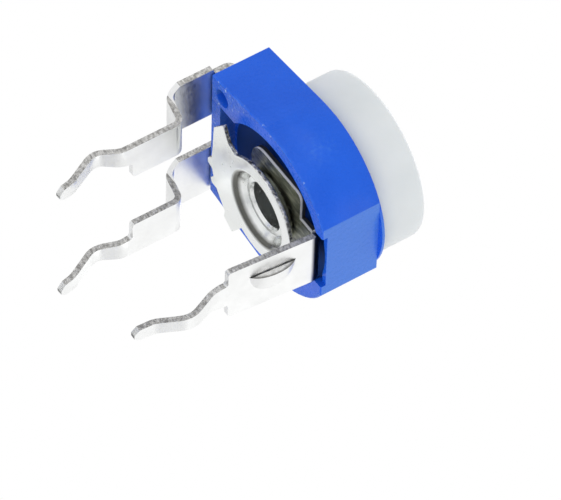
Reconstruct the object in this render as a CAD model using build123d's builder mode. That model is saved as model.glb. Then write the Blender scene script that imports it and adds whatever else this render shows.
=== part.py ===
"""Trimmer potentiometer: 6 mm top-adjust carbon type with three snap-in pins on a 5 x 5 mm triangle.

Frame: +Z runs up the knob's axis. The origin is on that axis, in the plane of the board that the shoulders of the
two end pins sit on. The end pins stand in a row along X on the +Y side, and the centre pin stands on the -Y side.
Sizes are in millimetres. Heights named *_h are measured upwards from the housing's back face.
"""
import os
from math import acos, atan2, cos, degrees, radians, sin, sqrt

from build123d import *

os.makedirs("parts", exist_ok=True)

# ---------------------------------------------------------------- driving dimensions
# Housing
stand_off = 3.82  # board to the housing's back face
housing_t = 2.26
housing_r = 3.50
top_y = 3.65  # straight wall behind the end pins
top_half_x = 3.03
flat_y = -3.05  # flat wall behind the centre pin
rim_r = 3.30  # thin ring that stands up round the knob
rim_t = 0.10
edge_round = 0.08

# Rear cavity, front well and the web between them
cavity_r = 2.95
cavity_depth = 0.62
channel_half_x = 1.90
channel_y = 3.10
web_top_h = 1.00
well_wall = 0.30  # housing wall round the board
seat_r = 1.75  # boss that the centre terminal lies on
slot_depth = 0.20  # notch for the centre terminal in the flat wall
slot_lip = 0.20  # outer skin of the wall, where the notch is no deeper
slot_clearance = 0.12
foot_round = 0.12  # round corners of the pins' shoulders

# Resistor board
board_r = 2.85
board_half_x = 2.74
board_t = 0.45
board_clearance = 0.03
track_r = 2.02
track_w = 0.66
track_t = 0.03
track_gap_deg = 70.0  # open part of the horseshoe, centred on +Y

# Sheet metal terminals
sheet_t = 0.22
sheet_clearance = 0.03
leg_length = 3.04  # board to pin tips
# End terminals
end_plate_y = 2.66  # middle of the sheet
end_strip_gap = 0.06  # wall to strip
end_strip_outer_x = 3.13
end_strip_upper_x = 2.88  # beside the housing the strip is narrower
end_strip_step_h = 0.10
end_strip_inner_x = 0.85
end_plate_outer_x = 2.79
end_plate_inner_x = 1.28
end_leg_root_w = 0.79
end_leg_tip_w = 0.52
end_tab_outer_x = 2.79
end_tab_inner_x = 1.60
end_tab_y = 2.50
end_jog_depth = 1.62  # back face to the jog
end_jog_drop = 0.24
end_kink = 0.44
# Centre terminal
mid_plate_y = -2.67
mid_plate_lean = 0.28  # how far the bent plate leans in by its shoulders
mid_plate_half_x = 1.143
mid_shoulder_lift = 0.49  # its shoulders stop short of the board
mid_leg_root_w = 0.99
mid_leg_tip_w = 0.52
mid_kink = 0.38
mid_bend_r = 0.34
ring_half_x = 1.98
ring_low_y = -1.60
ring_high_y = 1.30
ring_far_round = 0.70
ring_near_round = 0.28
neck_half_x = 0.80
louvre_drop = 1.66  # back face to the middle of the louvre
louvre_length = 1.80
louvre_width = 1.02
louvre_rise = 0.24
louvre_x = -0.48

# Rivets of the end terminals
rivet_x = 2.42
rivet_y = 3.00
rivet_r = 0.24
rivet_head_r = 0.30
rivet_head_t = 0.14
rivet_bore_r = 0.12
rivet_hole_r = 0.35
rivet_clearance = 0.01

# Rotor
eyelet_r = 0.96
eyelet_bore_r = 0.86
eyelet_mouth = 0.06  # flare of the bore at the back
eyelet_flange_r = 1.12
eyelet_flange_t = 0.12
eyelet_socket = 0.70  # how deep the knob grips it
running_clearance = 0.04
disc_t = 0.16
disc_hub_r = 1.25
disc_rim_r = 1.48
disc_edge_r = 2.03
disc_dish = 0.46
disc_bend_r = 0.14
disc_centre_h = -0.03  # middle of the sheet at the hub
tooth_low_r = 2.74
tooth_high_r = 2.98
tab_r = 3.12  # tip of the stop tab
tab_root_r = 2.45
knob_r = 3.08
knob_top_h = 4.20
knob_gap = 0.04  # ring to knob
knob_edge = 0.22
boss_r = 1.50
boss_gap = 0.30  # board to boss
driver_slot_w = 0.60
driver_slot_l = 3.40
driver_slot_d = 0.70
wiper_t = 0.10
wiper_w = 0.80
wiper_touch = 0.02
wiper_tip = 0.12  # how far the arm turns up past its contact
rotor_mid_deg = 76.5  # direction of the middle of the disc's toothed sector

# ---------------------------------------------------------------- derived places
back_z = stand_off
front_z = back_z + housing_t
web_top_z = back_z + web_top_h
board_top_z = web_top_z + board_t
film_top_z = board_top_z + track_t
knob_base_z = front_z + rim_t + knob_gap
knob_top_z = back_z + knob_top_h
boss_z = board_top_z + boss_gap
tip_z = -leg_length
mid_sheet_z = back_z + disc_centre_h + disc_t / 2 + sheet_clearance + sheet_t / 2
seat_z = mid_sheet_z + sheet_t / 2
board_y = top_y - well_wall - board_clearance
strip_y = top_y + end_strip_gap + sheet_t / 2
flat_half_x = sqrt(housing_r**2 - flat_y**2)
corner_deg = degrees(atan2(top_y, top_half_x))
tangent_deg = corner_deg - degrees(acos(housing_r / sqrt(top_half_x**2 + top_y**2)))
flat_deg = degrees(atan2(flat_y, flat_half_x))
tab_z = web_top_z - sheet_t / 2
rivet_places = [(-rivet_x, rivet_y), (rivet_x, rivet_y)]


def polar(radius, angle):
    """Point at this radius, at an angle in degrees from +X towards +Y."""
    return (radius * cos(radians(angle)), radius * sin(radians(angle)))


# ---------------------------------------------------------------- housing
with BuildPart() as housing:
    with BuildSketch(Plane.XY.offset(back_z)):
        with BuildLine():
            Line((0, top_y), (top_half_x, top_y))
            Line((top_half_x, top_y), polar(housing_r, tangent_deg))
            CenterArc((0, 0), housing_r, tangent_deg, flat_deg - tangent_deg)
            Line((flat_half_x, flat_y), (0, flat_y))
            mirror(about=Plane.YZ)
        make_face()
    extrude(amount=housing_t)
    fillet(housing.edges().filter_by(Axis.Z), radius=edge_round)
    chamfer(housing.faces().sort_by(Axis.Z)[0].edges(), length=edge_round / 2)
    # ring round the knob
    with BuildSketch(Plane.XY.offset(front_z)):
        Circle(rim_r)
    extrude(amount=rim_t)
    # front well for the board, open to the front
    with BuildSketch(Plane.XY.offset(web_top_z)):
        Circle(board_r + board_clearance)
        with Locations((0, (board_y + board_clearance) / 2)):
            Rectangle(2 * (board_half_x + board_clearance), board_y + board_clearance)
    extrude(amount=housing_t + rim_t, mode=Mode.SUBTRACT)
    # rear cavity with its channel towards the end pins
    with BuildSketch(Plane.XY.offset(back_z)):
        Circle(cavity_r)
        with Locations((0, channel_y / 2)):
            Rectangle(2 * channel_half_x, channel_y)
    extrude(amount=cavity_depth, mode=Mode.SUBTRACT)
    # boss that the centre terminal lies on
    with BuildSketch(Plane.XY.offset(seat_z)):
        Circle(seat_r)
    extrude(amount=back_z + cavity_depth - seat_z)
    # notch in the flat wall where the centre terminal leaves
    with BuildSketch(Plane.XY.offset(back_z)):
        with Locations((0, flat_y / 2 - cavity_r / 2)):
            Rectangle(2 * (mid_plate_half_x + slot_clearance), cavity_r)
    extrude(amount=slot_depth, mode=Mode.SUBTRACT)
    # the notch is deeper inside the wall, where the terminal's bend lies
    with BuildSketch(Plane.XY.offset(back_z)):
        with Locations((0, flat_y + slot_lip)):
            Rectangle(
                2 * (mid_plate_half_x + slot_clearance), cavity_r / 2, align=(Align.CENTER, Align.MIN)
            )
    extrude(amount=seat_z + sheet_clearance - back_z, mode=Mode.SUBTRACT)
    # bearing for the hub eyelet
    with Locations((0, 0, web_top_z)):
        Hole(radius=eyelet_r + running_clearance, depth=housing_t)
    # pockets for the end terminals' tabs, cut in the web and through the top wall
    with BuildSketch(Plane.XY.offset(web_top_z)):
        tab_middle_x = (end_tab_outer_x + end_tab_inner_x) / 2
        tab_middle_y = (end_tab_y + top_y) / 2
        with Locations((-tab_middle_x, tab_middle_y), (tab_middle_x, tab_middle_y)):
            Rectangle(
                end_tab_outer_x - end_tab_inner_x + 2 * sheet_clearance,
                top_y - end_tab_y + 2 * sheet_clearance,
            )
    extrude(amount=-sheet_t - sheet_clearance, mode=Mode.SUBTRACT)
    # rivet holes from the back
    with BuildSketch(Plane.XY.offset(back_z)):
        with Locations(*rivet_places):
            Circle(rivet_hole_r)
    extrude(amount=web_top_h, mode=Mode.SUBTRACT)
housing.part.label = "housing"
export_step(housing.part, "parts/housing.step")

# ---------------------------------------------------------------- resistor board and its printed films
with BuildPart() as resistor_board:
    with BuildSketch(Plane.XY.offset(web_top_z)):
        Circle(board_r)
        with Locations((0, board_y / 2)):
            Rectangle(2 * board_half_x, board_y)
        Circle(eyelet_r + 3 * running_clearance, mode=Mode.SUBTRACT)
        with Locations(*rivet_places):
            Circle(rivet_r + rivet_clearance, mode=Mode.SUBTRACT)
    extrude(amount=board_t)
resistor_board.part.label = "resistor_board"
export_step(resistor_board.part, "parts/resistor_board.step")

track_end_deg = 90 - track_gap_deg / 2
pad_half_w = track_w / 2


def pad_sketch(side):
    """Silver pad from one end of the track to its rivet: side is -1 for -X and 1 for +X."""
    with BuildSketch(Plane.XY.offset(board_top_z)) as pad:
        track_end = polar(track_r, track_end_deg)
        with BuildLine():
            Line((side * track_end[0], track_end[1]), (side * rivet_x, rivet_y))
        trace(line_width=2 * pad_half_w)
        with Locations((side * rivet_x, rivet_y), (side * track_end[0], track_end[1])):
            Circle(pad_half_w)
        with Locations((side * rivet_x, rivet_y)):
            Circle(rivet_r + rivet_clearance, mode=Mode.SUBTRACT)
    return pad.sketch


with BuildPart() as end_pad_1:
    extrude(pad_sketch(-1), amount=track_t)
end_pad_1.part.label = "end_pad_1"
export_step(end_pad_1.part, "parts/end_pad_1.step")

with BuildPart() as end_pad_3:
    extrude(pad_sketch(1), amount=track_t)
end_pad_3.part.label = "end_pad_3"
export_step(end_pad_3.part, "parts/end_pad_3.step")

with BuildPart() as carbon_track:
    with BuildSketch(Plane.XY.offset(board_top_z)):
        with BuildLine():
            CenterArc((0, 0), track_r, track_end_deg, track_gap_deg - 360)
        trace(line_width=track_w)
        for end_side in (-1, 1):
            add(pad_sketch(end_side).moved(Location((0, 0, -board_top_z))), mode=Mode.SUBTRACT)
    extrude(amount=track_t)
carbon_track.part.label = "carbon_track"
export_step(carbon_track.part, "parts/carbon_track.step")

# ---------------------------------------------------------------- end terminals
with BuildPart() as terminal_1:
    # side view of the folded strip: tab, outer strip, jog, plate and kinked leg
    with BuildSketch(Plane.YZ.offset(-end_strip_outer_x)):
        with BuildLine():
            FilletPolyline(
                (end_tab_y, tab_z),
                (strip_y, tab_z),
                (strip_y, back_z - end_jog_depth),
                (end_plate_y, back_z - end_jog_depth - end_jog_drop),
                (end_plate_y, -0.13 * leg_length),
                (end_plate_y + end_kink, -0.40 * leg_length),
                (end_plate_y - 0.45 * end_kink, -0.80 * leg_length),
                (end_plate_y - 0.72 * end_kink, tip_z),
                radius=[0.25, 0.30, 0.30, 0.80, 0.65, 1.00],
            )
        trace(line_width=sheet_t)
    extrude(amount=end_strip_outer_x - end_strip_inner_x)
    # front view: wide strip, narrower plate, leg on the plate's outer edge
    with BuildSketch(Plane.XZ) as front_view:
        with BuildLine():
            Polyline(
                (-end_strip_inner_x, front_z),
                (-end_strip_inner_x, back_z - 0.75 * end_jog_depth),
                (-end_plate_inner_x, back_z - end_jog_depth),
                (-end_plate_inner_x, 0),
                (-end_plate_outer_x + end_leg_root_w, 0),
                (-end_plate_outer_x + end_leg_root_w, -0.05 * leg_length),
                (-end_plate_outer_x + end_leg_tip_w + 0.06, -0.35 * leg_length),
                (-end_plate_outer_x + end_leg_tip_w, tip_z + 0.2),
                (-end_plate_outer_x + end_leg_tip_w / 2 + 0.06, tip_z),
                (-end_plate_outer_x + end_leg_tip_w / 2 - 0.06, tip_z),
                (-end_plate_outer_x, tip_z + 0.2),
                (-end_plate_outer_x, back_z - end_jog_depth),
                (-end_strip_outer_x, back_z - 0.75 * end_jog_depth),
                (-end_strip_outer_x, back_z + end_strip_step_h),
                (-end_strip_upper_x, back_z + 2 * end_strip_step_h),
                (-end_strip_upper_x, front_z),
                close=True,
            )
        make_face()
        fillet(front_view.vertices().filter_by_position(Axis.Y, -0.01, 0.01), radius=foot_round)
    extrude(amount=2 * top_y, both=True, mode=Mode.INTERSECT)
    # the tab is narrower than the strip, and has the rivet's hole
    with BuildSketch(Plane.XY.offset(tab_z - sheet_t / 2)):
        with Locations((-end_tab_inner_x, end_tab_y)):
            Rectangle(end_tab_inner_x, 2 * (top_y - end_tab_y), align=(Align.MIN, Align.CENTER))
        with Locations((-end_tab_outer_x, end_tab_y)):
            Rectangle(end_tab_inner_x, 2 * (top_y - end_tab_y), align=(Align.MAX, Align.CENTER))
        with Locations((-rivet_x, rivet_y)):
            Circle(rivet_r + rivet_clearance)
    extrude(amount=sheet_t, mode=Mode.SUBTRACT)
terminal_1.part.label = "terminal_1"
export_step(terminal_1.part, "parts/terminal_1.step")

with BuildPart() as terminal_3:
    mirror(terminal_1.part, about=Plane.YZ)
terminal_3.part.label = "terminal_3"
export_step(terminal_3.part, "parts/terminal_3.step")

# ---------------------------------------------------------------- centre terminal
mid_shoulder_y = mid_plate_y + mid_plate_lean
mid_slope = mid_plate_lean / (mid_sheet_z - mid_shoulder_lift)
louvre_z = back_z - louvre_drop
louvre_place = Location(
    (louvre_x, mid_plate_y + mid_slope * (mid_sheet_z - louvre_z), louvre_z),
    (degrees(atan2(mid_slope, 1)), 0, 0),
)


def half_ellipsoid(width, rise, length):
    """Half of an ellipsoid that is cut at X = 0 and kept on the +X side."""
    whole = scale(Sphere(1), by=(width, rise, length / 2))
    return split(whole, bisect_by=Plane.YZ, keep=Keep.TOP)


louvre_crown = sheet_t / 2 + louvre_rise
louvre_outside = split(
    half_ellipsoid(louvre_width, louvre_crown, louvre_length), bisect_by=Plane.XZ, keep=Keep.TOP
)
louvre_inside = Pos(0, sheet_t / 2, 0) * half_ellipsoid(
    louvre_width - sheet_t / 2, louvre_crown - sheet_t / 2 + 0.02, louvre_length - sheet_t
)

with BuildPart() as terminal_2:
    # side view: neck, right-angle bend, leaning plate and kinked leg
    with BuildSketch(Plane.YZ.offset(-mid_plate_half_x)):
        with BuildLine():
            FilletPolyline(
                (ring_low_y, mid_sheet_z),
                (mid_plate_y, mid_sheet_z),
                (mid_shoulder_y, mid_shoulder_lift),
                (mid_shoulder_y + 0.02, -0.04 * leg_length),
                (mid_shoulder_y - mid_kink, -0.36 * leg_length),
                (mid_shoulder_y + 0.42 * mid_kink, -0.74 * leg_length),
                (mid_shoulder_y + 0.52 * mid_kink, tip_z),
                radius=[mid_bend_r, 0.90, 0.80, 0.80, 0.90],
            )
        trace(line_width=sheet_t)
    extrude(amount=2 * mid_plate_half_x)
    # front view: the plate below the bend, its shoulders and the leg
    with BuildSketch(Plane.XZ) as front_view:
        with BuildLine():
            Polyline(
                (0, front_z),
                (mid_plate_half_x, front_z),
                (mid_plate_half_x, mid_shoulder_lift),
                (mid_leg_root_w / 2, mid_shoulder_lift),
                (mid_leg_root_w / 2, mid_shoulder_lift - 2 * foot_round),
                (mid_leg_tip_w / 2 + 0.08, -0.1 * leg_length),
                (mid_leg_tip_w / 2, -0.5 * leg_length),
                (mid_leg_tip_w / 2, tip_z + 0.2),
                (0.08, tip_z),
                (0, tip_z),
            )
            mirror(about=Plane.YZ)
        make_face()
        shoulders = front_view.vertices().filter_by_position(
            Axis.Y, mid_shoulder_lift - 0.01, mid_shoulder_lift + 0.01
        )
        fillet(shoulders, radius=foot_round)
    extrude(amount=2 * top_y, both=True, mode=Mode.INTERSECT)
    # the flat neck is narrower than the plate
    with BuildSketch(Plane.XY.offset(mid_sheet_z - sheet_t)):
        neck_end_y = mid_plate_y + sheet_t
        with Locations((neck_half_x, neck_end_y)):
            Rectangle(ring_half_x, ring_half_x, align=(Align.MIN, Align.MIN))
        with Locations((-neck_half_x, neck_end_y)):
            Rectangle(ring_half_x, ring_half_x, align=(Align.MAX, Align.MIN))
    extrude(amount=2 * sheet_t, mode=Mode.SUBTRACT)
    # plan view of the flat ring round the hub
    with BuildSketch(Plane.XY.offset(mid_sheet_z - sheet_t / 2)) as ring_plan:
        with Locations((0, (ring_low_y + ring_high_y) / 2)):
            Rectangle(2 * ring_half_x, ring_high_y - ring_low_y)
        fillet(ring_plan.vertices().group_by(Axis.Y)[-1], radius=ring_far_round)
        fillet(ring_plan.vertices().group_by(Axis.Y)[0], radius=ring_near_round)
        Circle(eyelet_r + running_clearance, mode=Mode.SUBTRACT)
    extrude(amount=sheet_t)
    # lanced louvre on the plate's outer face
    add(louvre_place * louvre_outside)
    add(louvre_place * louvre_inside, mode=Mode.SUBTRACT)
terminal_2.part.label = "terminal_2"
export_step(terminal_2.part, "parts/terminal_2.step")

# ---------------------------------------------------------------- rivets of the end terminals
rivet_foot_z = back_z + web_top_h / 2


def rivet_solid(place):
    """Tubular rivet with its head on the film and its tail in the housing's rear hole."""
    with BuildPart() as rivet:
        with BuildSketch(Plane.XY.offset(rivet_foot_z)):
            with Locations(place):
                Circle(rivet_r)
        extrude(amount=film_top_z - rivet_foot_z)
        with BuildSketch(Plane.XY.offset(film_top_z)):
            with Locations(place):
                Circle(rivet_head_r)
        extrude(amount=rivet_head_t)
        fillet(rivet.edges().sort_by(Axis.Z)[-1], radius=rivet_head_t / 2)
        with Locations((place[0], place[1], film_top_z + rivet_head_t)):
            Hole(radius=rivet_bore_r, depth=web_top_h)
    return rivet.part


for name, place in zip(("rivet_1", "rivet_3"), rivet_places):
    rivet_part = rivet_solid(place)
    rivet_part.label = name
    export_step(rivet_part, f"parts/{name}.step")

# ---------------------------------------------------------------- rotor: hub eyelet
eyelet_foot_z = back_z + disc_centre_h - disc_t / 2 - eyelet_flange_t
eyelet_top_z = knob_base_z + eyelet_socket
with BuildPart() as hub_eyelet:
    with BuildSketch(Plane.XZ):
        with BuildLine():
            Polyline(
                (eyelet_bore_r, eyelet_top_z),
                (eyelet_bore_r, eyelet_foot_z + 2 * eyelet_mouth),
                (eyelet_bore_r + eyelet_mouth, eyelet_foot_z),
                (eyelet_flange_r - eyelet_flange_t / 2, eyelet_foot_z),
                (eyelet_flange_r, eyelet_foot_z + eyelet_flange_t / 2),
                (eyelet_flange_r, eyelet_foot_z + eyelet_flange_t),
                (eyelet_r, eyelet_foot_z + eyelet_flange_t),
                (eyelet_r, eyelet_top_z),
                close=True,
            )
        make_face()
    revolve(axis=Axis.Z)
hub_eyelet.part.label = "hub_eyelet"
export_step(hub_eyelet.part, "parts/hub_eyelet.step")

# ---------------------------------------------------------------- rotor: dished disc with its toothed sector
disc_z = back_z + disc_centre_h
rim_sheet_z = disc_z - disc_dish
with BuildPart() as rotor_disc:
    with BuildSketch(Plane.XZ):
        with BuildLine():
            FilletPolyline(
                (eyelet_r + rivet_clearance, disc_z),
                (disc_hub_r, disc_z),
                (disc_rim_r, rim_sheet_z),
                (disc_edge_r, rim_sheet_z),
                radius=disc_bend_r,
            )
        trace(line_width=disc_t)
    revolve(axis=Axis.Z)
    with BuildSketch(Plane.XY.offset(rim_sheet_z - disc_t / 2)):
        with BuildLine():
            sector = [
                polar(radius, rotor_mid_deg + angle)
                for radius, angle in (
                    (disc_rim_r + disc_t, -50),
                    (disc_edge_r - disc_t, -52),
                    (tooth_high_r, -48),
                    (tooth_high_r, -36),
                    (tooth_low_r, -33),
                    (tooth_low_r, -15),
                    (tooth_high_r, -12),
                    (tooth_high_r, -8),
                    (tooth_low_r, -5),
                    (tooth_low_r, 2),
                    (tooth_high_r, 5),
                    (tooth_high_r, 9),
                    (tooth_low_r, 13),
                    (tooth_low_r, 24),
                    (tab_r, 46),
                    (tab_r, 61),
                    (tab_root_r, 57),
                    (disc_edge_r - disc_t, 64),
                    (disc_rim_r + disc_t, 62),
                )
            ]
            Polyline(*sector, close=True)
        make_face()
        Circle(disc_rim_r + disc_t, mode=Mode.SUBTRACT)
    extrude(amount=disc_t)
rotor_disc.part.label = "rotor_disc"
export_step(rotor_disc.part, "parts/rotor_disc.step")

# ---------------------------------------------------------------- rotor: knob
with BuildPart() as knob:
    with BuildSketch(Plane.XY.offset(knob_base_z)):
        Circle(knob_r)
    extrude(amount=knob_top_z - knob_base_z)
    fillet(knob.edges().group_by(Axis.Z)[-1], radius=knob_edge)
    chamfer(knob.edges().group_by(Axis.Z)[0], length=knob_gap)
    with BuildSketch(Plane.XY.offset(boss_z)):
        Circle(boss_r)
    extrude(amount=knob_base_z - boss_z)
    # socket that grips the hub eyelet
    with BuildSketch(Plane.XY.offset(boss_z)):
        Circle(eyelet_r + rivet_clearance)
    extrude(amount=eyelet_top_z - boss_z, mode=Mode.SUBTRACT)
    # cross slot for the screwdriver
    with BuildSketch(Plane.XY.offset(knob_top_z)):
        Rectangle(driver_slot_w, driver_slot_l, rotation=rotor_mid_deg - 90)
        Rectangle(driver_slot_l, driver_slot_w, rotation=rotor_mid_deg - 90)
    extrude(amount=-driver_slot_d, mode=Mode.SUBTRACT)
knob.part.label = "knob"
export_step(knob.part, "parts/knob.step")

# ---------------------------------------------------------------- rotor: wiper spring
wiper_deg = rotor_mid_deg + 180
wiper_plane = Plane(origin=(0, 0, 0), x_dir=polar(1, wiper_deg) + (0,), z_dir=polar(1, wiper_deg - 90) + (0,))
ring_sheet_z = boss_z - wiper_t / 2
contact_z = film_top_z + wiper_touch + wiper_t / 2
with BuildPart() as wiper_spring:
    with BuildSketch(wiper_plane.offset(-wiper_w / 2)):
        with BuildLine():
            FilletPolyline(
                (eyelet_r + wiper_t, ring_sheet_z),
                (boss_r, ring_sheet_z),
                (track_r, contact_z),
                (track_r + track_w / 3, contact_z + wiper_tip),
                radius=[0.15, 0.10],
            )
        trace(line_width=wiper_t)
    extrude(amount=wiper_w)
    with BuildSketch(Plane.XY.offset(boss_z - wiper_t)):
        Circle(boss_r)
    extrude(amount=wiper_t)
    with Locations((0, 0, boss_z)):
        Hole(radius=eyelet_r + rivet_clearance, depth=2 * boss_gap)
wiper_spring.part.label = "wiper_spring"
export_step(wiper_spring.part, "parts/wiper_spring.step")
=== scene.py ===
"""Looks of a trimmer potentiometer: blue housing, pale knob, tinned pins and a dished rotor disc."""
from math import cos, radians, sin

import bmesh
import bpy
from mathutils import Matrix, Vector


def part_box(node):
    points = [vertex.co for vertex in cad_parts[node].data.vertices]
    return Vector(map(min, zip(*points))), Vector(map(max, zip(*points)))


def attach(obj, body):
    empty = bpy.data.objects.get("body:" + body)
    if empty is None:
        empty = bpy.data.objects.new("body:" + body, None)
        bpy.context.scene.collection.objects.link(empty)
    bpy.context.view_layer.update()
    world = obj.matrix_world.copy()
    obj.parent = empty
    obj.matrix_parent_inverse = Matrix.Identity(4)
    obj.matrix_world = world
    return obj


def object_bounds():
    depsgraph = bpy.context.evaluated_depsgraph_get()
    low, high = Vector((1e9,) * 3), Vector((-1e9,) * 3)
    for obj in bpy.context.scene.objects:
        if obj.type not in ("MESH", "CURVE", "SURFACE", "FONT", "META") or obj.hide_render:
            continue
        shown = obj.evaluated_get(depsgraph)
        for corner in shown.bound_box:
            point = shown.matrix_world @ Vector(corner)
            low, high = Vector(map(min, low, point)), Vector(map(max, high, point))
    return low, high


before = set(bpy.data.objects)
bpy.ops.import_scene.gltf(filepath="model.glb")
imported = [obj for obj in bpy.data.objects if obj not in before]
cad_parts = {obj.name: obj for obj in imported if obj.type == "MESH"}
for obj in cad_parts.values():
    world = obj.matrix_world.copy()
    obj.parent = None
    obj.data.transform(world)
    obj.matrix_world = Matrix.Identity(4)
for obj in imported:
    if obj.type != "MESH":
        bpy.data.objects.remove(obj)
cad_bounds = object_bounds()

MM = 0.001
low, high = (Vector(corner) for corner in cad_bounds)
middle = (low + high) / 2
back_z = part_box("housing")[0][2]  # the housing's back face
front_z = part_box("housing")[1][2]
ON_AXIS = (0, 0, 0), (1, 1, 0)  # place and scale that measure a distance from the knob's axis

# ---------------------------------------------------------------- camera
VIEW_AZIMUTH = radians(-57.0)
VIEW_ELEVATION = radians(-20.9)
VIEW_ROLL = radians(63.1)
VIEW_DISTANCE = 200 * MM
FRAME_WIDTH_MM = 18.68  # width of the picture at the object
SENSOR = 36.0
AIM_RIGHT = -0.33 * MM  # where the middle of the housing's back face lies from the picture's middle
AIM_DOWN = -1.54 * MM


def make_camera():
    data = bpy.data.cameras.new("view")
    data.sensor_width = SENSOR
    data.lens = SENSOR * (VIEW_DISTANCE / MM) / FRAME_WIDTH_MM
    data.clip_start = 1 * MM
    data.clip_end = 2.0
    camera = bpy.data.objects.new("view", data)
    bpy.context.collection.objects.link(camera)
    away = Vector((
        sin(VIEW_AZIMUTH) * cos(VIEW_ELEVATION),
        -cos(VIEW_AZIMUTH) * cos(VIEW_ELEVATION),
        sin(VIEW_ELEVATION),
    ))
    level = Vector((0, 0, 1)).cross(away).normalized()
    upward = away.cross(level)
    right = level * cos(VIEW_ROLL) + upward * sin(VIEW_ROLL)
    up = away.cross(right)
    pivot = Vector((0, 0, back_z))
    place = pivot + away * VIEW_DISTANCE - right * AIM_RIGHT + up * AIM_DOWN
    turn = Matrix((right, up, away)).transposed().to_4x4()
    camera.matrix_world = Matrix.Translation(place) @ turn
    bpy.context.scene.camera = camera


# ---------------------------------------------------------------- light and floor
LAMP_DISTANCE = 120 * MM
SKY_SEEN = 1.0  # strength to the camera and in reflections
SKY_LIGHT = 0.55
FLOOR_COLOUR = (0.86, 0.86, 0.86, 1)
FLOOR_REACH = 400 * MM
FLOOR_GAP = 0.002 * MM


def make_lamp(name, direction, size, power):
    data = bpy.data.lights.new(name, "AREA")
    data.shape = "DISK"
    data.size = size
    data.energy = power
    lamp = bpy.data.objects.new(name, data)
    bpy.context.collection.objects.link(lamp)
    direction = Vector(direction).normalized()
    lamp.location = middle + direction * LAMP_DISTANCE
    lamp.rotation_euler = direction.to_track_quat("Z", "Y").to_euler()


def make_world():
    """White to the camera and in reflections, softer as a light."""
    world = bpy.data.worlds.new("studio")
    bpy.context.scene.world = world
    world.use_nodes = True
    nodes, links = world.node_tree.nodes, world.node_tree.links
    nodes.clear()
    out = nodes.new("ShaderNodeOutputWorld")
    path = nodes.new("ShaderNodeLightPath")
    shown = nodes.new("ShaderNodeBackground")
    shown.inputs["Color"].default_value = (1, 1, 1, 1)
    shown.inputs["Strength"].default_value = SKY_SEEN
    light = nodes.new("ShaderNodeBackground")
    light.inputs["Color"].default_value = (1, 1, 1, 1)
    light.inputs["Strength"].default_value = SKY_LIGHT
    white_to = path.outputs["Is Camera Ray"]
    for ray in ("Is Glossy Ray", "Is Transmission Ray"):
        either = nodes.new("ShaderNodeMath")
        either.operation = "MAXIMUM"
        links.new(white_to, either.inputs[0])
        links.new(path.outputs[ray], either.inputs[1])
        white_to = either.outputs[0]
    mix = nodes.new("ShaderNodeMixShader")
    links.new(white_to, mix.inputs["Fac"])
    links.new(light.outputs[0], mix.inputs[1])
    links.new(shown.outputs[0], mix.inputs[2])
    links.new(mix.outputs[0], out.inputs["Surface"])


def make_floor():
    """A pale floor at the pin tips. It is clear from below, so that the underside can be seen and lit."""
    mesh = bpy.data.meshes.new("floor")
    corners = [(-1, -1), (1, -1), (1, 1), (-1, 1)]
    floor_z = low.z - FLOOR_GAP
    mesh.from_pydata([(x * FLOOR_REACH, y * FLOOR_REACH, floor_z) for x, y in corners], [], [(0, 1, 2, 3)])
    floor = bpy.data.objects.new("floor", mesh)
    bpy.context.collection.objects.link(floor)
    material = bpy.data.materials.new("floor")
    material.use_nodes = True
    nodes, links = material.node_tree.nodes, material.node_tree.links
    nodes.clear()
    out = nodes.new("ShaderNodeOutputMaterial")
    side = nodes.new("ShaderNodeNewGeometry")
    path = nodes.new("ShaderNodeLightPath")
    clear = nodes.new("ShaderNodeBsdfTransparent")
    pale = nodes.new("ShaderNodeBsdfDiffuse")
    pale.inputs["Color"].default_value = FLOOR_COLOUR
    see_through = nodes.new("ShaderNodeMath")
    see_through.operation = "MAXIMUM"
    links.new(side.outputs["Backfacing"], see_through.inputs[0])
    links.new(path.outputs["Is Shadow Ray"], see_through.inputs[1])
    mix = nodes.new("ShaderNodeMixShader")
    links.new(see_through.outputs[0], mix.inputs["Fac"])
    links.new(pale.outputs[0], mix.inputs[1])
    links.new(clear.outputs[0], mix.inputs[2])
    links.new(mix.outputs[0], out.inputs["Surface"])
    floor.data.materials.append(material)


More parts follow.
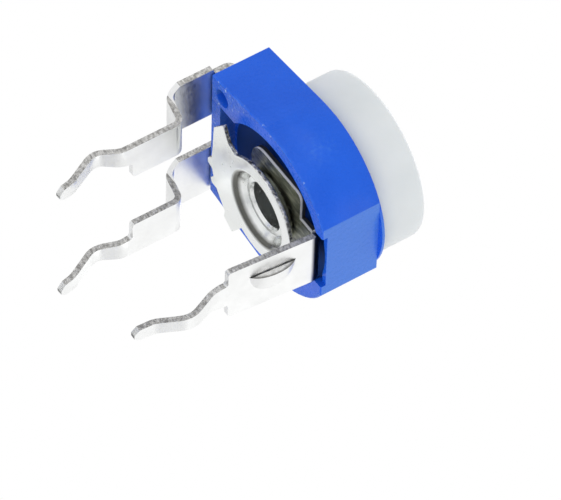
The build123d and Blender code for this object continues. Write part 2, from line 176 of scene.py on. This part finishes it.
# ---------------------------------------------------------------- material building blocks
class Shader:
    """A Principled material with helpers that add texture nodes in object space."""

    def __init__(self, name, colour, roughness, metallic=0.0):
        self.material = bpy.data.materials.new(name)
        self.material.use_nodes = True
        self.nodes = self.material.node_tree.nodes
        self.links = self.material.node_tree.links
        self.bsdf = self.nodes["Principled BSDF"]
        self.bsdf.inputs["Base Color"].default_value = (*colour, 1)
        self.bsdf.inputs["Roughness"].default_value = roughness
        self.bsdf.inputs["Metallic"].default_value = metallic
        self.place = self.nodes.new("ShaderNodeTexCoord").outputs["Object"]

    def noise(self, per_mm, detail=3.0, stretch=(1, 1, 1), roughness=0.55):
        mapping = self.nodes.new("ShaderNodeMapping")
        mapping.inputs["Scale"].default_value = tuple(per_mm / MM * s for s in stretch)
        self.links.new(self.place, mapping.inputs["Vector"])
        texture = self.nodes.new("ShaderNodeTexNoise")
        texture.inputs["Scale"].default_value = 1.0
        texture.inputs["Detail"].default_value = detail
        texture.inputs["Roughness"].default_value = roughness
        self.links.new(mapping.outputs[0], texture.inputs["Vector"])
        return texture.outputs["Fac"]

    def spread(self, value, lowest, highest, start=0.0, end=1.0):
        ranged = self.nodes.new("ShaderNodeMapRange")
        ranged.inputs["From Min"].default_value = lowest
        ranged.inputs["From Max"].default_value = highest
        ranged.inputs["To Min"].default_value = start
        ranged.inputs["To Max"].default_value = end
        self.links.new(value, ranged.inputs["Value"])
        return ranged.outputs[0]

    def fade(self, value, lowest, highest):
        """1 below the lowest value and 0 above the highest."""
        return self.spread(value, lowest, highest, 1.0, 0.0)

    def band(self, value, rise, fall):
        """1 between two ramps, each (start, end), and 0 outside them."""
        return self.times(self.spread(value, *rise), self.fade(value, *fall))

    def times(self, first, second):
        return self.maths("MULTIPLY", first, second)

    def inverse(self, value):
        return self.maths("SUBTRACT", 1.0, value)

    def maths(self, operation, *values):
        node = self.nodes.new("ShaderNodeMath")
        node.operation = operation
        for socket, value in zip(node.inputs, values):
            if isinstance(value, (int, float)):
                socket.default_value = value
            else:
                self.links.new(value, socket)
        return node.outputs[0]

    def mix(self, factor, first, second):
        node = self.nodes.new("ShaderNodeMix")
        node.data_type = "RGBA"
        self.links.new(factor, node.inputs["Factor"])
        for socket, value in ((node.inputs["A"], first), (node.inputs["B"], second)):
            for each in node.inputs:
                if each.name == socket.name and each.type == "RGBA":
                    if isinstance(value, tuple):
                        each.default_value = (*value, 1)
                    else:
                        self.links.new(value, each)
        return [each for each in node.outputs if each.type == "RGBA"][0]

    def colour(self, value):
        self.links.new(value, self.bsdf.inputs["Base Color"])

    def roughness(self, value):
        self.links.new(value, self.bsdf.inputs["Roughness"])

    def metallic(self, value):
        self.links.new(value, self.bsdf.inputs["Metallic"])

    def bump(self, *layers):
        """Each layer is (height, depth in mm)."""
        normal = None
        for height, depth in layers:
            node = self.nodes.new("ShaderNodeBump")
            node.inputs["Strength"].default_value = 1.0
            node.inputs["Distance"].default_value = depth * MM
            self.links.new(height, node.inputs["Height"])
            if normal:
                self.links.new(normal, node.inputs["Normal"])
            normal = node.outputs[0]
        self.links.new(normal, self.bsdf.inputs["Normal"])

    def facing(self, axis):
        """How squarely the surface faces along an axis of the object, 0 to 1, either way."""
        geometry = self.nodes.new("ShaderNodeNewGeometry")
        parts = self.nodes.new("ShaderNodeSeparateXYZ")
        self.links.new(geometry.outputs["True Normal"], parts.inputs[0])
        return self.maths("ABSOLUTE", parts.outputs[axis])

    def distance(self, place, scale=(1, 1, 1)):
        """Distance from a place, in units that differ by axis if there is a scale."""
        mapping = self.nodes.new("ShaderNodeMapping")
        mapping.inputs["Scale"].default_value = scale
        mapping.inputs["Location"].default_value = tuple(-value for value in place)
        self.links.new(self.place, mapping.inputs["Vector"])
        length = self.nodes.new("ShaderNodeVectorMath")
        length.operation = "LENGTH"
        self.links.new(mapping.outputs[0], length.inputs[0])
        return length.outputs["Value"]

    def position(self, axis):
        parts = self.nodes.new("ShaderNodeSeparateXYZ")
        self.links.new(self.place, parts.inputs[0])
        return parts.outputs[axis]


RUBBED_PLACE = (-3.3 * MM, -1.1 * MM, back_z + 1.1 * MM)  # on the curved side of the housing
RUBBED_REACH = 0.2 * MM, 0.75 * MM
PALE_BRIM_HEIGHT = back_z - 0.01 * MM, back_z + 0.09 * MM
PALE_BRIM_RADIUS = 3.34 * MM, 3.44 * MM
# depth and radius of the moulded hollows, which are painted dark as shade
SHADED_HOLLOW_DEPTH = back_z + 0.12 * MM, back_z + 0.40 * MM
SHADED_HOLLOW_RADIUS = 2.96 * MM, 3.02 * MM


def blue_plastic():
    s = Shader("blue_plastic", (0.02, 0.10, 0.62), 0.30)
    cloud = s.noise(0.5, 4)
    body = s.mix(s.spread(cloud, 0.3, 0.7), (0.009, 0.105, 0.70), (0.014, 0.130, 0.80))
    # painted sheen: the straight walls that face along Y are painted paler and less saturated, as sheen
    # makes them look
    body = s.mix(s.spread(s.facing("Y"), 0.90, 0.99, 0.0, 0.75), body, (0.085, 0.245, 0.76))
    # pale specks along the moulding's lower edge, and a rubbed patch on its side
    radius = s.distance(*ON_AXIS)
    brim = s.times(s.fade(s.position("Z"), *PALE_BRIM_HEIGHT), s.spread(radius, *PALE_BRIM_RADIUS))
    pale_brim = s.times(brim, s.spread(s.noise(2.6, 6, roughness=0.7), 0.42, 0.66))
    specks = s.times(brim, s.spread(s.noise(4.5, 2), 0.66, 0.70))
    rubbed = s.times(s.fade(s.distance(RUBBED_PLACE), *RUBBED_REACH), s.spread(s.noise(7.0, 6), 0.48, 0.66))
    pale = s.maths("MAXIMUM", s.times(pale_brim, 0.40), s.times(rubbed, 0.30))
    # painted shade: the moulded hollows are painted darker, where shade falls in them
    shaded_hollow = s.times(s.spread(s.position("Z"), *SHADED_HOLLOW_DEPTH), s.fade(radius, *SHADED_HOLLOW_RADIUS))
    body = s.mix(s.times(shaded_hollow, 0.92), body, (0.003, 0.042, 0.19))
    s.colour(s.mix(specks, s.mix(pale, body, (0.09, 0.28, 0.84)), (0.50, 0.68, 0.95)))
    smooth = s.spread(s.noise(6.0, 5), 0.3, 0.75, 0.20, 0.38)
    s.roughness(s.maths("MAXIMUM", smooth, s.times(shaded_hollow, 0.75)))
    s.bsdf.inputs["Specular IOR Level"].default_value = 0.22
    s.bump((pale_brim, 0.02), (s.noise(14.0, 3), 0.0015), (s.noise(0.8, 3), 0.014))
    return s.material


SHADED_FOOT = front_z + 0.10 * MM, front_z + 0.65 * MM
MILK_DEPTH = (0.8 * MM, 0.9 * MM, 1.0 * MM)


def pale_plastic():
    s = Shader("pale_plastic", (0.60, 0.66, 0.68), 0.42)
    cloud = s.noise(0.4, 3)
    milky = s.mix(s.spread(cloud, 0.3, 0.7), (0.70, 0.735, 0.75), (0.76, 0.79, 0.80))
    # painted shade: the knob is painted darker towards its foot by the housing
    foot = s.fade(s.position("Z"), *SHADED_FOOT)
    s.colour(s.mix(s.times(foot, 0.3), milky, (0.50, 0.58, 0.66)))
    s.roughness(s.spread(s.noise(7.0, 4), 0.3, 0.7, 0.34, 0.48))
    s.bsdf.inputs["Subsurface Weight"].default_value = 0.25
    s.bsdf.inputs["Subsurface Radius"].default_value = MILK_DEPTH
    s.bsdf.inputs["Subsurface Scale"].default_value = 1.0
    s.bump((s.noise(12.0, 3), 0.0015), (s.noise(0.7, 2), 0.01))
    return s.material


RING_HEIGHT = back_z - 0.05 * MM, back_z + 0.03 * MM  # the centre terminal's ring is painted with reflection and shade above this
RING_FRONT = -2.60 * MM, -2.45 * MM  # its bend lies on the -Y side of this
RING_BURR = back_z + 0.15 * MM, back_z + 0.18 * MM  # bright burr below, painted shade on the side above
# above this, the centre terminal's bend is painted near black as shade
BEND_HEIGHT = back_z - 0.22 * MM, back_z - 0.08 * MM


def ring_reflection_and_shade(s, tin):
    """The centre terminal's tin, with a painted dark reflection and shade on its ring where it faces the
    disc, a bright burr round the ring with painted shade above it, and painted shade on its bend.
    """
    up = s.spread(s.position("Z"), *RING_HEIGHT)
    inner = s.spread(s.position("Y"), *RING_FRONT)
    on_ring = s.times(up, inner)
    # painted reflection: the ring's level faces are painted dark olive with streaks, as they mirror the disc
    streaks = s.spread(s.noise(1.3, 5, (2.4, 0.6, 1), 0.7), 0.44, 0.62)
    ring_reflection = s.mix(streaks, (0.25, 0.26, 0.20), (0.75, 0.75, 0.62))
    burr = s.spread(s.position("Z"), *RING_BURR)
    sides = s.mix(burr, (0.90, 0.90, 0.88), (0.03, 0.03, 0.03))
    level = s.spread(s.facing("Z"), 0.5, 0.9)
    s.metallic(s.inverse(s.times(s.times(s.inverse(level), on_ring), 0.8)))
    tin = s.mix(on_ring, tin, s.mix(level, sides, ring_reflection))
    # painted shade: the bend is painted near black
    bend = s.times(s.spread(s.position("Z"), *BEND_HEIGHT), s.inverse(inner))
    return s.mix(bend, tin, (0.02, 0.02, 0.024)), up


def tinned_sheet(name, ring=False):
    """Bright tinned sheet with rough sheared edges, which face along X."""
    s = Shader(name, (0.90, 0.90, 0.89), 0.25, 1.0)
    cut = s.spread(s.facing("X"), 0.90, 0.98)
    streak = s.noise(6.0, 6, (1, 1, 1.8), 0.7)
    grains = s.mix(s.spread(streak, 0.40, 0.60), (0.28, 0.275, 0.265), (0.62, 0.615, 0.60))
    cloud = s.noise(0.8, 5)
    tin = s.mix(s.spread(cloud, 0.35, 0.7), (0.86, 0.865, 0.86), (0.94, 0.945, 0.94))
    if ring:
        tin, up = ring_reflection_and_shade(s, tin)
        cut = s.times(cut, s.inverse(up))
    s.colour(s.mix(cut, tin, grains))
    smooth = s.spread(s.noise(5.0, 5), 0.3, 0.75, 0.28, 0.42)
    s.roughness(s.maths("MAXIMUM", smooth, s.times(cut, 0.50)))
    s.bump((s.times(streak, cut), 0.05), (s.noise(14.0, 3), 0.0008), (s.noise(0.7, 2), 0.008))
    return s.material


OUTER_BEND = (1.29 * MM, 1.36 * MM), (1.44 * MM, 1.56 * MM)  # radii of the dish's bends, which are painted dark as reflections
INNER_BEND = (1.10 * MM, 1.14 * MM), (1.17 * MM, 1.21 * MM)
REFLECTION_SIDE = -1.2 * MM, 0.4 * MM  # the painted reflections in the bends are darker on the +X +Y side
SHEARED_RADIUS = 1.90 * MM, 1.95 * MM


def disc_metal():
    """Pale plated metal with painted dark reflections in the dish's bends, darker on the +X +Y side, and a
    rough sheared edge.
    """
    s = Shader("disc_metal", (0.80, 0.79, 0.76), 0.22, 1.0)
    cloud = s.noise(0.7, 5)
    plated = s.mix(s.spread(cloud, 0.3, 0.7), (0.90, 0.92, 0.905), (0.96, 0.975, 0.96))
    radius = s.distance(*ON_AXIS)
    # painted reflection: the dish's bends are painted dark
    bends = s.maths("MAXIMUM", s.band(radius, *OUTER_BEND), s.band(radius, *INNER_BEND))
    sideways = s.maths("ADD", s.position("X"), s.position("Y"))
    reflection_side = s.spread(sideways, *REFLECTION_SIDE, 0.15, 0.95)
    plated = s.mix(s.times(bends, reflection_side), plated, (0.11, 0.11, 0.095))
    grain = s.noise(7.0, 6, roughness=0.7)
    sheared = s.times(s.spread(radius, *SHEARED_RADIUS), s.fade(s.facing("Z"), 0.2, 0.6))
    grains = s.mix(s.spread(grain, 0.42, 0.60), (0.10, 0.10, 0.095), (0.80, 0.80, 0.78))
    s.colour(s.mix(sheared, plated, grains))
    s.roughness(s.spread(s.noise(6.0, 5), 0.3, 0.75, 0.18, 0.30))
    s.bump((s.times(grain, sheared), 0.05), (s.noise(10.0, 4), 0.001), (s.noise(1.1, 3), 0.008))
    return s.material


def phenolic():
    s = Shader("phenolic", (0.30, 0.16, 0.07), 0.5)
    fibre = s.noise(3.0, 6, (1, 5, 1), 0.7)
    s.colour(s.mix(s.spread(fibre, 0.3, 0.7), (0.22, 0.11, 0.045), (0.40, 0.23, 0.10)))
    s.bump((fibre, 0.006))
    return s.material


def carbon_film():
    s = Shader("carbon_film", (0.02, 0.02, 0.022), 0.55)
    grain = s.noise(18.0, 4)
    s.colour(s.mix(s.spread(grain, 0.35, 0.7), (0.012, 0.012, 0.014), (0.05, 0.05, 0.052)))
    s.bump((grain, 0.003))
    return s.material


def silver_film():
    s = Shader("silver_film", (0.72, 0.72, 0.70), 0.42, 0.9)
    grain = s.noise(14.0, 4)
    s.colour(s.mix(s.spread(grain, 0.3, 0.7), (0.58, 0.58, 0.56), (0.82, 0.82, 0.80)))
    s.roughness(s.spread(grain, 0.3, 0.7, 0.35, 0.55))
    s.bump((grain, 0.003))
    return s.material


def spring_bronze():
    s = Shader("spring_bronze", (0.68, 0.46, 0.22), 0.28, 1.0)
    grain = s.noise(4.0, 5, (1, 8, 1))
    s.colour(s.mix(s.spread(grain, 0.3, 0.7), (0.58, 0.38, 0.17), (0.78, 0.56, 0.30)))
    s.roughness(s.spread(grain, 0.3, 0.7, 0.22, 0.36))
    return s.material


# ---------------------------------------------------------------- finishing the CAD nodes
SAME_POINT = 0.0001 * MM
WELD_DISTANCE = 0.0005 * MM
EDGE_ANGLE = radians(50)  # only edges sharper than this are rounded


def refinish(node, material):
    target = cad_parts[node]
    target.data.materials.clear()
    target.data.materials.append(material)


def round_edges(node, width):
    """Small rounded edges on a CAD node."""
    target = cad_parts[node]
    weld = target.modifiers.new("weld", "WELD")
    weld.merge_threshold = WELD_DISTANCE
    bevel = target.modifiers.new("edges", "BEVEL")
    bevel.width = width
    bevel.segments = 2
    bevel.limit_method = "ANGLE"
    bevel.angle_limit = EDGE_ANGLE


# ---------------------------------------------------------------- the torn face of the louvre
LOUVRE_PLACE = (-0.488 * MM, -2.523 * MM, 2.16 * MM)  # in the middle of the sheet, just off the louvre's cut
LOUVRE_LEAN = radians(4.55)
LOUVRE_HALF_LENGTH = 0.885 * MM
LOUVRE_CROWN = 0.39 * MM  # from the middle of the sheet, a little past the CAD's lip
LOUVRE_ROOT = 0.112 * MM  # just outside the sheet's outer face
# how far out from the sheet the painted shade in the slit fades, and how ragged its edge is
SLIT_DEPTH = LOUVRE_ROOT + 0.030 * MM, LOUVRE_ROOT + 0.045 * MM
SLIT_RAGGEDNESS = 0.05 * MM
LOUVRE_STEPS = 32


def torn_metal():
    """Bright torn metal between painted shade in the slit at the sheet and painted shade along the lower
    lip.
    """
    s = Shader("torn_metal", (0.75, 0.75, 0.74), 0.4, 0.4)
    ragged = s.times(s.maths("SUBTRACT", s.noise(5.0, 5), 0.5), SLIT_RAGGEDNESS)
    outwards = s.maths("ADD", s.times(s.position("Y"), -1.0), ragged)
    # painted shade: the slit at the sheet and the lower lip are painted dark
    slit = s.fade(outwards, *SLIT_DEPTH)
    lens = s.distance((0, 0, 0), (0, 1 / LOUVRE_CROWN, 1 / LOUVRE_HALF_LENGTH))
    lip = s.spread(lens, 0.74, 0.92)
    grain = s.spread(s.noise(6.0, 5, roughness=0.7), 0.35, 0.65)
    face = s.mix(grain, (0.55, 0.55, 0.53), (0.92, 0.92, 0.91))
    face = s.mix(s.times(lip, 0.85), face, (0.14, 0.135, 0.125))
    s.colour(s.mix(slit, face, (0.02, 0.02, 0.02)))
    s.bump((grain, 0.01))
    return s.material


def make_torn_face():
    """A flat half ellipse from the sheet's outer face to a little past the louvre's lip."""
    mesh = bpy.data.meshes.new("torn_face")
    work = bmesh.new()
    rows = []
    for step in range(LOUVRE_STEPS + 1):
        z = LOUVRE_HALF_LENGTH * (2 * step / LOUVRE_STEPS - 1)
        edge = LOUVRE_CROWN * max(0.0, 1 - (z / LOUVRE_HALF_LENGTH) ** 2) ** 0.5
        edge = max(edge, LOUVRE_ROOT)
        rows.append([work.verts.new((0, -y, z)) for y in (LOUVRE_ROOT, edge)])
    for one, two in zip(rows, rows[1:]):
        if one[1].co.y < -LOUVRE_ROOT or two[1].co.y < -LOUVRE_ROOT:
            work.faces.new((one[0], two[0], two[1], one[1]))
    bmesh.ops.remove_doubles(work, verts=work.verts, dist=SAME_POINT)
    work.to_mesh(mesh)
    work.free()
    face = bpy.data.objects.new("torn_face", mesh)
    bpy.context.collection.objects.link(face)
    mesh.materials.append(torn_metal())
    face.matrix_world = Matrix.Translation(LOUVRE_PLACE) @ Matrix.Rotation(LOUVRE_LEAN, 4, "X")
    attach(face, "base")


# ---------------------------------------------------------------- the scene
make_camera()
make_world()
make_floor()
make_lamp("key", (0.10, -1.0, 0.10), 150 * MM, 0.040)
make_lamp("side", (-1.0, 0.15, -0.35), 150 * MM, 0.045)
make_lamp("under", (-0.3, -0.6, -1.0), 130 * MM, 0.032)
make_lamp("top", (0.2, 0.2, 1.0), 180 * MM, 0.095)

refinish("housing", blue_plastic())
refinish("knob", pale_plastic())
end_tin = tinned_sheet("tinned_end")
for node in ("terminal_1", "terminal_3"):
    refinish(node, end_tin)
refinish("terminal_2", tinned_sheet("tinned_middle", ring=True))
disc = disc_metal()
for node in ("rotor_disc", "hub_eyelet", "rivet_1", "rivet_3"):
    refinish(node, disc)
refinish("resistor_board", phenolic())
refinish("carbon_track", carbon_film())
silver = silver_film()
for node in ("end_pad_1", "end_pad_3"):
    refinish(node, silver)
refinish("wiper_spring", spring_bronze())

make_torn_face()
for node in ("terminal_1", "terminal_3", "rotor_disc"):
    round_edges(node, 0.03 * MM)
round_edges("housing", 0.04 * MM)

bpy.context.scene.view_settings.view_transform = "Standard"
